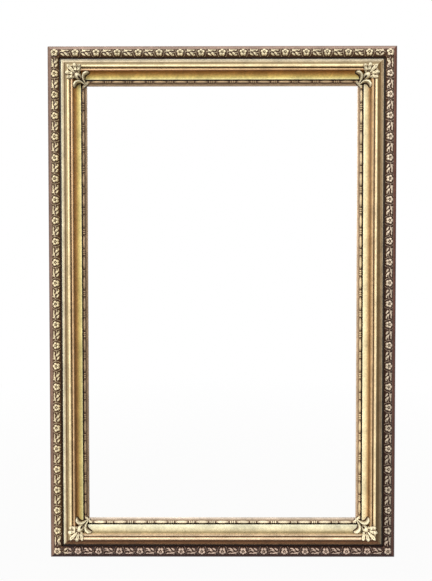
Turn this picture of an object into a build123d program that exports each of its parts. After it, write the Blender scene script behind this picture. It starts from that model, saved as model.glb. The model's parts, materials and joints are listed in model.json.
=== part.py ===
"""Ornate gilded frame for a picture or mirror: four mitred rails carrying pressed ornament.

X runs to the right, Z up, and the front faces -Y. The back of the rails lies in the plane Y = 0
and the origin is the middle of the frame in that plane.
"""
from build123d import *

import math
import os

os.makedirs("parts", exist_ok=True)

# Plate that the frame holds, in millimetres
CONTENT_WIDTH = 762.0
CONTENT_HEIGHT = 1219.0
CONTENT_CLEARANCE = 1.0
REBATE_WIDTH = 7.0
REBATE_DEPTH = 12.0

# Widths across the moulding, from the outer edge to the sight edge
RIM_WIDTH = 11.5
BORDER_BED_WIDTH = 21.5
BORDER_GROOVE_WIDTH = 5.5
OUTER_FILLET_WIDTH = 7.5
HOLLOW_WIDTH = 13.5
PEAK_BEAD_RADIUS = 3.5
QUIRK_WIDTH = 3.0
INNER_FILLET_WIDTH = 5.5
COVE_WIDTH = 17.0
SIGHT_GROOVE_WIDTH = 2.5
SIGHT_BED_WIDTH = 5.0
SIGHT_SLOPE_WIDTH = 6.5

# Steps in height along the same profile
LIP_THICKNESS = 6.0
SIGHT_SLOPE_RISE = 6.0
SIGHT_GROOVE_DEPTH = 1.5
COVE_LIFT = 2.0
COVE_RISE = 22.0
INNER_FILLET_STEP = 1.5
QUIRK_DEPTH = 2.0
PEAK_BEAD_LIFT = 1.5
PEAK_BEAD_FOOT = 1.0
HOLLOW_RISE = 10.0
OUTER_FILLET_STEP = 1.5
OUTER_FILLET_SLOPE = 5.0
OUTER_FILLET_RISE = 5.5
BORDER_GROOVE_DEPTH = 3.0
RIM_STEP = 1.0
RIM_RISE = 8.0

# Feather keys across the mitres
KEY_LEG = 42.0
KEY_THICKNESS = 3.0
KEY_HEIGHTS = (7.0, 18.0)
KEY_SLOT_CLEARANCE = 0.05

# Rosette border pressed on the outer bed
BORDER_SIDE_GAP = 0.5
BORDER_EDGE_RISE = 1.0
BORDER_CROWN_RISE = 6.0
BORDER_CROWN_FLAT = 6.0
ROSETTE_PITCH = 57.6
ROSETTE_RADIUS = 11.0
ROSETTE_PETAL_COUNT = 4
ROSETTE_NOTCH = 0.8
ROSETTE_TOP = 0.6
ROSETTE_RELIEF = 3.0
ROSETTE_BUTTON_RADIUS = 3.5
ROSETTE_BUTTON_RISE = 1.5
ROSETTE_BUTTON_SIDE_COUNT = 6
CORNER_ROSETTE_RADIUS = 12.5
LEAF_LENGTH = 20.0
LEAF_WIDTH = 6.0
LEAF_RELIEF = 2.5
LEAF_SINK = 0.5
LEAF_ANGLE = 10.0

# Half-round strip along the sight edge
SIGHT_BEAD_RISE = 5.0
SIGHT_STRIP_SET_BACK = 3.0

# Acanthus ornament over each inner corner
ORNAMENT_GLUE_LINE = 0.3
ORNAMENT_THICKNESS = 4.5
ORNAMENT_CHORD_COUNT = 4
BOSS_CENTRE = 26.0
BOSS_RADIUS = 8.0
BOSS_TOP = 51.0
RAISED_RISE = 5.0
EYE_CENTRE = 22.0
EYE_RADIUS = 2.5
FAN_LOBE_ANGLES = (0.0, 27.0, 57.0)
FAN_LOBE_REACH = (40.0, 34.0, 28.0)
FAN_LOBE_WIDTH = 11.0
FAN_LOBE_SHOULDER = 0.65
CURL_TIP = (2.0, 3.0)
CURL_BACK = (12.5, 25.0)
CURL_HOLLOW = (6.0, 24.0)
CURL_END = (-4.0, 42.5)
CURL_END_WIDTH = 6.5
RIBBON_WIDTH = 11.0
RIBBON_SLOT = 2.5
RIBBON_START = 5.0

# Turn buttons that hold the plate in the rebate
LONG_RAIL_BUTTON_COUNT = 3
SHORT_RAIL_BUTTON_COUNT = 1
BUTTON_SET_BACK = 12.0
BUTTON_REACH = 28.0
BUTTON_HEAD_RADIUS = 7.5
BUTTON_TIP_WIDTH = 9.0
BUTTON_TIP_CUT = 2.0
BUTTON_THICKNESS = 2.0
BUTTON_GAP = 0.2

# Hanging straps and rings
STRAP_EDGE_DISTANCE = 40.0
HANGER_DROP = 330.0
STRAP_WIDTH = 16.0
STRAP_LENGTH = 62.0
STRAP_THICKNESS = 1.5
STRAP_SCREW_DROPS = (36.0, 52.0)
RING_BAR_WIDTH = 4.0
RING_INNER_WIDTH = 25.0
RING_SIDE_LENGTH = 9.0
RING_CORNER_CUT = 3.0
RING_EDGE_CHAMFER = 1.15
LOOP_CLEARANCE = 0.3

# Wood screws
SCREW_SHANK_RADIUS = 2.0
SCREW_HOLE_CLEARANCE = 0.08
SCREW_HEAD_RADIUS = 4.2
SCREW_HEAD_RISE = 2.2
SCREW_HEAD_BEVEL = 1.4
SCREW_DEPTH = 15.0

# Flat sides that stand for a full turn on small round pieces and holes
ROUND_SIDE_COUNT = 12

# Positions across the moulding
border_edge = RIM_WIDTH
groove_edge = border_edge + BORDER_BED_WIDTH
outer_fillet_edge = groove_edge + BORDER_GROOVE_WIDTH
hollow_edge = outer_fillet_edge + OUTER_FILLET_WIDTH
bead_edge = hollow_edge + HOLLOW_WIDTH
bead_centre = bead_edge + PEAK_BEAD_RADIUS
quirk_edge = bead_centre + PEAK_BEAD_RADIUS
inner_fillet_edge = quirk_edge + QUIRK_WIDTH
cove_edge = inner_fillet_edge + INNER_FILLET_WIDTH
sight_groove_edge = cove_edge + COVE_WIDTH
sight_bed_edge = sight_groove_edge + SIGHT_GROOVE_WIDTH
sight_slope_edge = sight_bed_edge + SIGHT_BED_WIDTH
moulding_width = sight_slope_edge + SIGHT_SLOPE_WIDTH
rebate_wall = moulding_width - REBATE_WIDTH

# Heights above the back of the frame
lip_front = REBATE_DEPTH + LIP_THICKNESS
sight_bed_height = lip_front + SIGHT_SLOPE_RISE
sight_groove_height = sight_bed_height - SIGHT_GROOVE_DEPTH
cove_foot = sight_bed_height + COVE_LIFT
cove_top = cove_foot + COVE_RISE
inner_fillet_height = cove_top + INNER_FILLET_STEP
quirk_height = inner_fillet_height - QUIRK_DEPTH
bead_height = inner_fillet_height + PEAK_BEAD_LIFT
hollow_top = bead_height - PEAK_BEAD_FOOT
hollow_foot = hollow_top - HOLLOW_RISE
outer_fillet_height = hollow_foot - OUTER_FILLET_STEP
outer_fillet_foot = outer_fillet_height - OUTER_FILLET_SLOPE
bed_height = outer_fillet_height - OUTER_FILLET_RISE
border_groove_height = bed_height - BORDER_GROOVE_DEPTH
rim_height = bed_height + RIM_STEP
side_height = rim_height - RIM_RISE

# Overall sizes of the frame
sight_width = CONTENT_WIDTH + 2 * CONTENT_CLEARANCE - 2 * REBATE_WIDTH
sight_height = CONTENT_HEIGHT + 2 * CONTENT_CLEARANCE - 2 * REBATE_WIDTH
outer_width = sight_width + 2 * moulding_width
outer_height = sight_height + 2 * moulding_width

# Each rail is drawn in its own axes: inward from the outer edge, out from the back, along the rail
RAILS = {
    "left": (Plane((-outer_width / 2, 0, 0), x_dir=(1, 0, 0), z_dir=(0, 0, -1)), outer_height),
    "right": (Plane((outer_width / 2, 0, 0), x_dir=(-1, 0, 0), z_dir=(0, 0, 1)), outer_height),
    "top": (Plane((0, 0, outer_height / 2), x_dir=(0, 0, -1), z_dir=(-1, 0, 0)), outer_width),
    "bottom": (Plane((0, 0, -outer_height / 2), x_dir=(0, 0, 1), z_dir=(1, 0, 0)), outer_width),
}

# Each corner is drawn in axes along its two outward sides, with the third out to the front
CORNERS = {
    "top_right": ((1, 1), (1, 0, 0)),
    "top_left": ((-1, 1), (0, 0, 1)),
    "bottom_left": ((-1, -1), (-1, 0, 0)),
    "bottom_right": ((1, -1), (0, 0, -1)),
}
MITRE = Plane((0, 0, 0), x_dir=(0, 0, 1), z_dir=(1, -1, 0))


def corner_plane(name, width, height):
    """Axes of a corner of the rectangle of the given width and height."""
    (across, up), first_side = CORNERS[name]
    return Plane((across * width / 2, 0, up * height / 2), x_dir=first_side, z_dir=(0, -1, 0))


def save(name, solids):
    """Write one node with its solids."""
    export_step(Compound(children=list(solids)), "parts/" + name + ".step")


def front_of_moulding():
    """Edges of the carved front from the hollow to the cove, in profile axes."""
    peak = (bead_centre, bead_height + PEAK_BEAD_RADIUS)
    return [
        TangentArc((hollow_edge, hollow_foot), (bead_edge, hollow_top), tangent=(1, 0)),
        Line((bead_edge, hollow_top), (bead_edge, bead_height)),
        ThreePointArc((bead_edge, bead_height), peak, (quirk_edge, bead_height)),
        Polyline(
            (quirk_edge, bead_height),
            (quirk_edge, quirk_height),
            (inner_fillet_edge, quirk_height),
            (inner_fillet_edge, inner_fillet_height),
            (cove_edge, inner_fillet_height),
            (cove_edge, cove_top),
        ),
        TangentArc((cove_edge, cove_top), (sight_groove_edge, cove_foot), tangent=(0, -1)),
    ]


def moulding_profile():
    """Cross-section of a rail: side, rim, border bed, hollow, bead, cove, sight edge and rebate."""
    rim = TangentArc((border_edge, rim_height), (0, side_height), tangent=(-1, 0))
    outer = Polyline(
        (border_edge, rim_height),
        (border_edge, bed_height),
        (groove_edge, bed_height),
        (groove_edge, border_groove_height),
        (outer_fillet_edge, border_groove_height),
        (outer_fillet_edge, outer_fillet_foot),
        (hollow_edge, outer_fillet_height),
        (hollow_edge, hollow_foot),
    )
    inner = Polyline(
        (sight_groove_edge, cove_foot),
        (sight_groove_edge, sight_groove_height),
        (sight_bed_edge, sight_groove_height),
        (sight_bed_edge, sight_bed_height),
        (sight_slope_edge, sight_bed_height),
        (moulding_width, lip_front),
        (moulding_width, REBATE_DEPTH),
        (rebate_wall, REBATE_DEPTH),
        (rebate_wall, 0),
        (0, 0),
        (0, side_height),
    )
    return make_face([rim, outer, *front_of_moulding(), inner])


def mitred(section, length):
    """A section drawn in profile axes, run along a rail and cut at 45 degrees at both ends."""
    bar = extrude(section, amount=length / 2, both=True)
    plan = Polygon(
        (0, -length / 2),
        (moulding_width, moulding_width - length / 2),
        (moulding_width, length / 2 - moulding_width),
        (0, length / 2),
        align=None,
    )
    depth = bead_height + PEAK_BEAD_RADIUS
    return bar & extrude(Plane((0, 0, 0), x_dir=(1, 0, 0), z_dir=(0, 1, 0)) * plan, amount=depth)


def chords(arc, count):
    """Points that divide an arc into equal parts."""
    return [arc @ (part / count) for part in range(count + 1)]


def disc(radius):
    """A round outline with its corners on the radius, for what turns or fits inside something."""
    return RegularPolygon(radius, ROUND_SIDE_COUNT)


def bore(radius):
    """A round outline with its flat sides on the radius, for what something fits inside."""
    return RegularPolygon(radius, ROUND_SIDE_COUNT, major_radius=False, rotation=180 / ROUND_SIDE_COUNT)


def back_pin(across, along, outline, front, back):
    """A bar square to the back of a rail, between two heights above the back."""
    axis = Plane((across, back, along), x_dir=(1, 0, 0), z_dir=(0, 1, 0))
    return axis * extrude(outline, amount=front - back)


def wood_screw(across, along, seat):
    """A screw with a bevelled round head, driven into the back of a rail and clear of what it holds."""
    shank = back_pin(across, along, disc(SCREW_SHANK_RADIUS), SCREW_DEPTH, -seat)
    head = back_pin(across, along, disc(SCREW_HEAD_RADIUS), -seat, -seat - SCREW_HEAD_RISE)
    head = chamfer(head.faces().sort_by(Axis.Y)[0].edges(), SCREW_HEAD_BEVEL)
    return shank + head


def downward(side):
    """Which way along a rail's own length leads down, or toward the right on a level rail."""
    return -sum(RAILS[side][0].z_dir)


def button_stations(side):
    """Distances along a rail at which its turn buttons sit, from the top down."""
    length = RAILS[side][1] - 2 * moulding_width
    count = LONG_RAIL_BUTTON_COUNT if side in ("left", "right") else SHORT_RAIL_BUTTON_COUNT
    return [downward(side) * length * ((place + 0.5) / count - 0.5) for place in range(count)]


def strap_screw_stations(side):
    """Distances along a side rail of the screws of its hanging strap."""
    loop = HANGER_DROP - outer_height / 2
    return [downward(side) * (loop + drop) for drop in STRAP_SCREW_DROPS]


button_across = rebate_wall - BUTTON_SET_BACK
screw_hole = bore(SCREW_SHANK_RADIUS + SCREW_HOLE_CLEARANCE)

# Rails, mitred at the corners and bored for the screws of the back
profile = moulding_profile()
key_outline = Polygon((0, 0), (-KEY_LEG, 0), (0, -KEY_LEG), align=None)
slot_thickness = KEY_THICKNESS + 2 * KEY_SLOT_CLEARANCE
slots = []
for corner in CORNERS:
    outer_corner = corner_plane(corner, outer_width, outer_height)
    for height in KEY_HEIGHTS:
        level = outer_corner * Pos(0, 0, height)
        slots.append(level * extrude(key_outline, amount=slot_thickness / 2, both=True))
for side, (place, length) in RAILS.items():
    holes = [back_pin(button_across, s, screw_hole, SCREW_DEPTH, 0) for s in button_stations(side)]
    if side in ("left", "right"):
        for station in strap_screw_stations(side):
            holes.append(back_pin(STRAP_EDGE_DISTANCE, station, screw_hole, SCREW_DEPTH, 0))
    rail = place * (mitred(profile, length) - holes)
    save(side + "_rail", (rail - slots).solids())

# Feather keys glued into saw kerfs across the mitres
for corner in CORNERS:
    outer_corner = corner_plane(corner, outer_width, outer_height)
    keys = []
    for height in KEY_HEIGHTS:
        level = outer_corner * Pos(0, 0, height)
        keys.append(level * extrude(key_outline, amount=KEY_THICKNESS / 2, both=True))
    save(corner + "_mitre_keys", keys)

# Section of the pressed border: flat back, low sides and a crown with bevelled flanks
border_centre = border_edge + BORDER_BED_WIDTH / 2
border_half = BORDER_BED_WIDTH / 2 - BORDER_SIDE_GAP
crown_spring = bed_height + BORDER_EDGE_RISE
crown_top = crown_spring + BORDER_CROWN_RISE
border_near = border_centre - border_half
border_far = border_centre + border_half
crown_half = BORDER_CROWN_FLAT / 2
border_section = Polygon(
    (border_near, bed_height),
    (border_far, bed_height),
    (border_far, crown_spring),
    (border_centre + crown_half, crown_top),
    (border_centre - crown_half, crown_top),
    (border_near, crown_spring),
    align=None,
)


def spike(outline, base, rise):
    """A faceted relief: an outline on the base plane drawn up to a point."""
    return loft([base * outline, base * Vertex(0, 0, rise)], ruled=True)


def rosette(base, radius):
    """A flower of bevelled petals set on the diagonals, with a pointed button in the middle."""
    points = []
    for petal in range(ROSETTE_PETAL_COUNT):
        for share, reach in ((0.5, 1.0), (1.0, ROSETTE_NOTCH)):
            angle = math.tau * (petal + share) / ROSETTE_PETAL_COUNT
            points.append((radius * reach * math.cos(angle), radius * reach * math.sin(angle)))
    rise = BORDER_CROWN_RISE + ROSETTE_RELIEF
    top = base * Pos(0, 0, rise)
    petals = spike(Polygon(*points, align=None), base, rise / (1 - ROSETTE_TOP))
    button = RegularPolygon(ROSETTE_BUTTON_RADIUS, ROSETTE_BUTTON_SIDE_COUNT)
    return [split(petals, bisect_by=Plane(top), keep=Keep.BOTTOM), spike(button, top, ROSETTE_BUTTON_RISE)]


def leaf(base, flank, direction, foot):
    """A pointed leaf with a ridge, on the outer or inner flank of the crown, bent away from its middle."""
    fall = border_half - crown_half
    slope = Plane(
        (flank * (border_half + crown_half) / 2, foot, BORDER_CROWN_RISE / 2),
        x_dir=(flank * fall, 0, -BORDER_CROWN_RISE),
        z_dir=(flank * BORDER_CROWN_RISE, 0, fall),
    )
    outline = Polygon(
        (-LEAF_LENGTH / 4, 0),
        (0, LEAF_WIDTH / 2),
        (LEAF_LENGTH * 3 / 4, 0),
        (0, -LEAF_WIDTH / 2),
        align=None,
    )
    turn = flank * direction * (90 - LEAF_ANGLE)
    seat = base * slope.location * Pos(0, 0, -LEAF_SINK) * Rot(0, 0, turn)
    return spike(outline, seat, LEAF_SINK + LEAF_RELIEF)


def spray(base, direction, start):
    """Two leaves that spread apart along the border, their feet at a distance from a joint of repeats."""
    foot = direction * (start + LEAF_LENGTH / 4)
    return [leaf(base, flank, direction, foot) for flank in (-1, 1)]


# Runs of border between the corner pieces
corner_arm = border_centre + ROSETTE_PITCH / 2
for side, (place, length) in RAILS.items():
    run = length - 2 * corner_arm
    repeats = round(run / ROSETTE_PITCH)
    pitch = run / repeats
    strip = extrude(border_section, amount=run / 2, both=True)
    seat = Plane((border_centre, crown_spring, -run / 2), x_dir=(1, 0, 0), z_dir=(0, 1, 0))
    relief = spray(seat, -1, 0) + spray(seat * Pos(0, -run, 0), 1, 0)
    for repeat in range(repeats):
        relief += rosette(seat * Pos(0, -(repeat + 0.5) * pitch, 0), ROSETTE_RADIUS)
        if repeat > 0:
            relief += spray(seat * Pos(0, -repeat * pitch, 0), 1, -LEAF_LENGTH / 2)
    save(side + "_rosette_border", (place * (strip + relief)).solids())


# Corner pieces of the border, each with a larger rosette on the mitre
for corner in CORNERS:
    place = corner_plane(corner, outer_width, outer_height)
    arm_plane = Plane((0, -corner_arm, 0), x_dir=(-1, 0, 0), z_dir=(0, 1, 0))
    arm = split(extrude(arm_plane * border_section, amount=corner_arm), bisect_by=MITRE, keep=Keep.TOP)
    arm_end = Plane((-border_centre, -corner_arm, crown_spring))
    leaves = spray(arm_end, 1, 0)
    seat = Plane((-border_centre, -border_centre, crown_spring))
    piece = arm + mirror(arm, about=MITRE)
    piece = piece + leaves + [mirror(one, about=MITRE) for one in leaves]
    piece = piece + rosette(seat, CORNER_ROSETTE_RADIUS)
    save(corner + "_border_corner", (place * piece).solids())


# Sight strips, half-round on a flat back, butted against the corner ornaments
strip_radius = SIGHT_BED_WIDTH / 2
strip_spring = sight_bed_height + SIGHT_BEAD_RISE - strip_radius
strip_middle = sight_bed_edge + strip_radius
sight_section = make_face(
    [
        ThreePointArc(
            (sight_bed_edge, strip_spring),
            (strip_middle, strip_spring + strip_radius),
            (sight_slope_edge, strip_spring),
        ),
        Polyline(
            (sight_slope_edge, strip_spring),
            (sight_slope_edge, sight_bed_height),
            (sight_bed_edge, sight_bed_height),
            (sight_bed_edge, strip_spring),
        ),
    ]
)
for side, (place, length) in RAILS.items():
    run = length - 2 * moulding_width - 2 * SIGHT_STRIP_SET_BACK
    save(side + "_sight_strip", [place * extrude(sight_section, amount=run / 2, both=True)])


def ornament_layer(thickness):
    """One side of a faceted layer that follows the hollow, the bead and the cove, cut along the mitre."""
    lift = ORNAMENT_GLUE_LINE
    crest = bead_height + PEAK_BEAD_RADIUS
    cap = PEAK_BEAD_RADIUS * math.tan(math.radians(22.5))
    tip_edge = moulding_width - RIBBON_START
    tip_height = sight_bed_height + SIGHT_BEAD_RISE + thickness - ORNAMENT_THICKNESS
    hollow_arc, *_, cove_arc = front_of_moulding()
    over_bead = ThreePointArc(
        (bead_edge, hollow_top + thickness),
        (bead_centre, crest + thickness),
        (cove_edge, inner_fillet_height + thickness),
    )
    section = Polyline(
        *chords(Pos(0, lift) * hollow_arc, ORNAMENT_CHORD_COUNT),
        (bead_edge, bead_height + cap + lift),
        (bead_centre - cap, crest + lift),
        (bead_centre + cap, crest + lift),
        (quirk_edge, bead_height + cap + lift),
        (inner_fillet_edge, inner_fillet_height + lift),
        (cove_edge, inner_fillet_height + lift),
        *chords(Pos(0, lift) * cove_arc, ORNAMENT_CHORD_COUNT),
        (sight_bed_edge, sight_bed_height + lift),
        (tip_edge, sight_bed_height + lift),
        (tip_edge, tip_height),
        *reversed(chords(Pos(0, thickness) * cove_arc, ORNAMENT_CHORD_COUNT)),
        *reversed(chords(over_bead, ORNAMENT_CHORD_COUNT)),
        *reversed(chords(Pos(0, thickness) * hollow_arc, ORNAMENT_CHORD_COUNT)[:-1]),
        close=True,
    )
    start = Plane((moulding_width, -moulding_width, 0), x_dir=(-1, 0, 0), z_dir=(0, 1, 0))
    layer = extrude(start * make_face(section), amount=2 * moulding_width)
    return split(layer, bisect_by=MITRE, keep=Keep.TOP)


def curled_leaf():
    """Plan of a leaf between two arcs that part at the sight corner, blunt where the leaf turns over."""
    across, out = CURL_END
    back = ThreePointArc(CURL_TIP, CURL_BACK, (across, out + CURL_END_WIDTH / 2))
    hollow = ThreePointArc((across, out - CURL_END_WIDTH / 2), CURL_HOLLOW, CURL_TIP)
    points = chords(back, ORNAMENT_CHORD_COUNT) + chords(hollow, ORNAMENT_CHORD_COUNT)[:-1]
    return make_face(Polyline(*points, close=True))


# Outline of the corner ornament from the front: boss with its eye, ribbons, fan of lobes, curled leaves
diagonal = Rot(0, 0, 45)
boss_spot = diagonal * Pos(BOSS_CENTRE * math.sqrt(2), 0)
eye_spot = diagonal * Pos(EYE_CENTRE * math.sqrt(2), 0)
ribbon_run = (EYE_CENTRE - RIBBON_START) * math.sqrt(2)
ribbon_spot = diagonal * Pos(RIBBON_START * math.sqrt(2) + ribbon_run / 2, 0)
boss = boss_spot * RegularPolygon(BOSS_RADIUS, 8)
eye = eye_spot * RegularPolygon(EYE_RADIUS, 8)
ribbons = ribbon_spot * Rectangle(ribbon_run, RIBBON_WIDTH)
outline = boss + ribbons
for angle, length in zip(FAN_LOBE_ANGLES, FAN_LOBE_REACH):
    lobe = Polygon(
        (0, -FAN_LOBE_WIDTH / 4),
        (length * FAN_LOBE_SHOULDER, -FAN_LOBE_WIDTH / 2),
        (length, 0),
        (length * FAN_LOBE_SHOULDER, FAN_LOBE_WIDTH / 2),
        (0, FAN_LOBE_WIDTH / 4),
        align=None,
    )
    for turn in {angle, -angle}:
        outline += boss_spot * Rot(0, 0, turn) * lobe
curl = curled_leaf()
curls = [curl, mirror(curl, about=MITRE)]
outline += curls
raised = ribbons + curls - ribbon_spot * Rectangle(ribbon_run, RIBBON_SLOT)

# Corner ornaments, pressed in one piece and glued over the mitre, which the boss bridges
ornament_top = bead_height + PEAK_BEAD_RADIUS + ORNAMENT_THICKNESS
base_layer = ornament_layer(ORNAMENT_THICKNESS) & extrude(outline - eye, amount=ornament_top)
raised_layer = ornament_layer(ORNAMENT_THICKNESS + RAISED_RISE) & extrude(raised - eye, amount=ornament_top)
boss_layer = ornament_layer(BOSS_TOP) & extrude(boss - eye, amount=BOSS_TOP)
half_ornament = base_layer + raised_layer + boss_layer
ornament = half_ornament + mirror(half_ornament, about=MITRE)
for corner in CORNERS:
    place = corner_plane(corner, sight_width, sight_height)
    save(corner + "_corner_ornament", (place * ornament).solids())

# Turn buttons, at rest along their rails and clear of the rebate
button_half = BUTTON_TIP_WIDTH / 2
button_plate = Polygon(
    (0, -BUTTON_HEAD_RADIUS),
    (BUTTON_REACH - BUTTON_TIP_CUT, -button_half),
    (BUTTON_REACH, BUTTON_TIP_CUT - button_half),
    (BUTTON_REACH, button_half - BUTTON_TIP_CUT),
    (BUTTON_REACH - BUTTON_TIP_CUT, button_half),
    (0, BUTTON_HEAD_RADIUS),
    align=None,
)
button = extrude(disc(BUTTON_HEAD_RADIUS) + button_plate - screw_hole, amount=BUTTON_THICKNESS)
screw_seat = 2 * BUTTON_GAP + BUTTON_THICKNESS
button_screws = []
for side, (place, length) in RAILS.items():
    for number, station in enumerate(button_stations(side), start=1):
        pivot = Plane((button_across, -BUTTON_GAP, station), x_dir=(0, 0, downward(side)), z_dir=(0, -1, 0))
        save(f"{side}_turn_button_{number}", [place * pivot * button])
        button_screws.append(place * wood_screw(button_across, station, screw_seat))
save("turn_button_screws", button_screws)

# Hanging rings and the straps whose curled ends hold them
bar_half = RING_BAR_WIDTH / 2
bar_corner = math.hypot(bar_half, bar_half - RING_EDGE_CHAMFER)
loop_bore = bar_corner + LOOP_CLEARANCE
loop_radius = loop_bore + STRAP_THICKNESS


def ring_outline(half_width, top):
    """A loop with a straight top edge, straight sides and a half-round foot, hanging from a bar."""
    spring = -bar_half - RING_SIDE_LENGTH
    foot = ThreePointArc((half_width, spring), (0, spring - half_width), (-half_width, spring))
    bends = chords(foot, ROUND_SIDE_COUNT)
    return make_face(Polyline((-half_width, top), (half_width, top), *bends, close=True))


ring_face = ring_outline(RING_INNER_WIDTH / 2 + RING_BAR_WIDTH, bar_half)
ring_face = chamfer(ring_face.vertices().group_by(Axis.Y)[-1], RING_CORNER_CUT)
ring_face -= ring_outline(RING_INNER_WIDTH / 2, -bar_half)
ring = extrude(ring_face, amount=bar_half, both=True)
ring_sides = ring.faces().sort_by(Axis.Z)
ring = chamfer(ring_sides[0].edges() + ring_sides[-1].edges(), RING_EDGE_CHAMFER)
leaf_run = STRAP_LENGTH - STRAP_WIDTH / 2
strap_leaf = Pos(0, -leaf_run / 2) * Rectangle(STRAP_WIDTH, leaf_run)
strap_leaf += Pos(0, -leaf_run) * disc(STRAP_WIDTH / 2)
strap_leaf -= [Pos(0, -drop) * screw_hole for drop in STRAP_SCREW_DROPS]
strap_curl = extrude(Plane.YZ * bore(loop_radius), amount=STRAP_WIDTH / 2, both=True)
strap = strap_curl + Pos(0, 0, -loop_radius) * extrude(strap_leaf, amount=STRAP_THICKNESS)
strap -= extrude(Plane.YZ * bore(loop_bore), amount=STRAP_WIDTH / 2, both=True)
strap_screws = []
for side, hand in (("left", -1), ("right", 1)):
    across = hand * (outer_width / 2 - STRAP_EDGE_DISTANCE)
    level = outer_height / 2 - HANGER_DROP
    loop_axis = Plane((across, loop_radius, level), x_dir=(-1, 0, 0), z_dir=(0, 1, 0))
    save(side + "_hanger_strap", (loop_axis * strap).solids())
    save(side + "_hanging_ring", (loop_axis * ring).solids())
    for station in strap_screw_stations(side):
        strap_screws.append(RAILS[side][0] * wood_screw(STRAP_EDGE_DISTANCE, station, STRAP_THICKNESS))
save("hanger_screws", strap_screws)
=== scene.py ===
import json
import math
import bpy
import numpy as np
from mathutils import Matrix, Vector


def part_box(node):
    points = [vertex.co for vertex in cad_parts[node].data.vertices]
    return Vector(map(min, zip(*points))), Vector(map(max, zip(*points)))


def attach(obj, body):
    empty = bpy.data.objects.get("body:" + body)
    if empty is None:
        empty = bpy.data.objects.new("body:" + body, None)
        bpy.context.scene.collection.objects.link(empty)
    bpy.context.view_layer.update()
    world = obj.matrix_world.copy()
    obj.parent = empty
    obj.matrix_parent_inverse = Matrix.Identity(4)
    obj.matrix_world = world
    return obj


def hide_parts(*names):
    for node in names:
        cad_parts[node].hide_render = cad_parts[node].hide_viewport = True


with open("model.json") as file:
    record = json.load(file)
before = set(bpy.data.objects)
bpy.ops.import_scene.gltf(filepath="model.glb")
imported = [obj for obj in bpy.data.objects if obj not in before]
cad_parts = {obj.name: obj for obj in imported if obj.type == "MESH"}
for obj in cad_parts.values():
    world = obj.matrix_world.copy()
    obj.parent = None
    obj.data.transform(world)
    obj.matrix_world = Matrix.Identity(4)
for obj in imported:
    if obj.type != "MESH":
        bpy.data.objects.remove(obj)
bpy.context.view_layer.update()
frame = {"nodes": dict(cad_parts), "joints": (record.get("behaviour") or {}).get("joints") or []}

# Rails
# Four lengths of pine moulding, mitred, keyed and glued at the corners. The front is coated with gesso and
# red bole and laid with gold leaf, which age has rubbed off the edges and dulled in the grooves.
MM = 0.001
OUTER = {"width": 962.0, "height": 1419.0}
MOULDING = 106.0
REBATE_EDGE, REBATE_DEPTH = 99.0, 12.0
EDGE_SOFTNESS = 0.35
PROFILE_STEP = 0.4
SHARP_EDGE = math.radians(50)
# Each side: its direction inward, the outer size along it, and the outer size across it.
SIDES = {"top": ((0, 0, -1), "width", "height"), "bottom": ((0, 0, 1), "width", "height"),
         "left": ((1, 0, 0), "height", "width"), "right": ((-1, 0, 0), "height", "width")}
# Stops across the moulding: mm inward from the outer edge, colour, and how metallic the leaf still is. The
# colour is the leaf's own with painted light in it: painted highlights on the fillet's arrises and the bead,
# which are also rubbed pale, and painted shade in the dark grooves, the quirk and the sight groove.
RAIL_TONES_AND_PAINTED_LIGHT = ((0, "#7a6258", 0.2), (4, "#927a6c", 0.2), (9, "#a3897a", 0.2), (11.4, "#8c7665", 0.2),
              (12.5, "#4a3524", 0.0), (31, "#5a4630", 0.0), (34.5, "#4e3a26", 0.0), (36, "#2a180c", 0.0),
              (38.2, "#2e1b0e", 0.0), (38.9, "#fffadc", 0.6), (42.8, "#fff4c8", 0.6), (43.6, "#c6b490", 0.4),
              (44.4, "#baab92", 0.2), (45.0, "#fff0d0", 0.5), (46.4, "#f4e2be", 0.5), (47.6, "#a8987a", 0.2),
              (49, "#94805c", 0.2), (53, "#a89470", 0.3), (58, "#c8b484", 0.5), (60.2, "#fff4de", 0.6),
              (66, "#fcecd0", 0.6), (67, "#7d653c", 0.3), (69, "#7d653c", 0.3), (70.0, "#dcccb4", 0.4),
              (72.4, "#dcccb4", 0.4), (73.2, "#c8ae8c", 0.4), (74.6, "#c8ae8c", 0.4), (75.4, "#dccca4", 0.5),
              (80, "#f2e6c0", 0.4), (84, "#f8efcc", 0.2), (90.8, "#fffadf", 0.2), (91.6, "#2e1c0a", 0.0),
              (94.4, "#34210e", 0.0), (95.5, "#4e341e", 0.0), (99.5, "#4e341e", 0.0), (100.5, "#8f7c66", 0.4),
              (104, "#b09c86", 0.4), (106, "#d6c6b4", 0.4))
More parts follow.
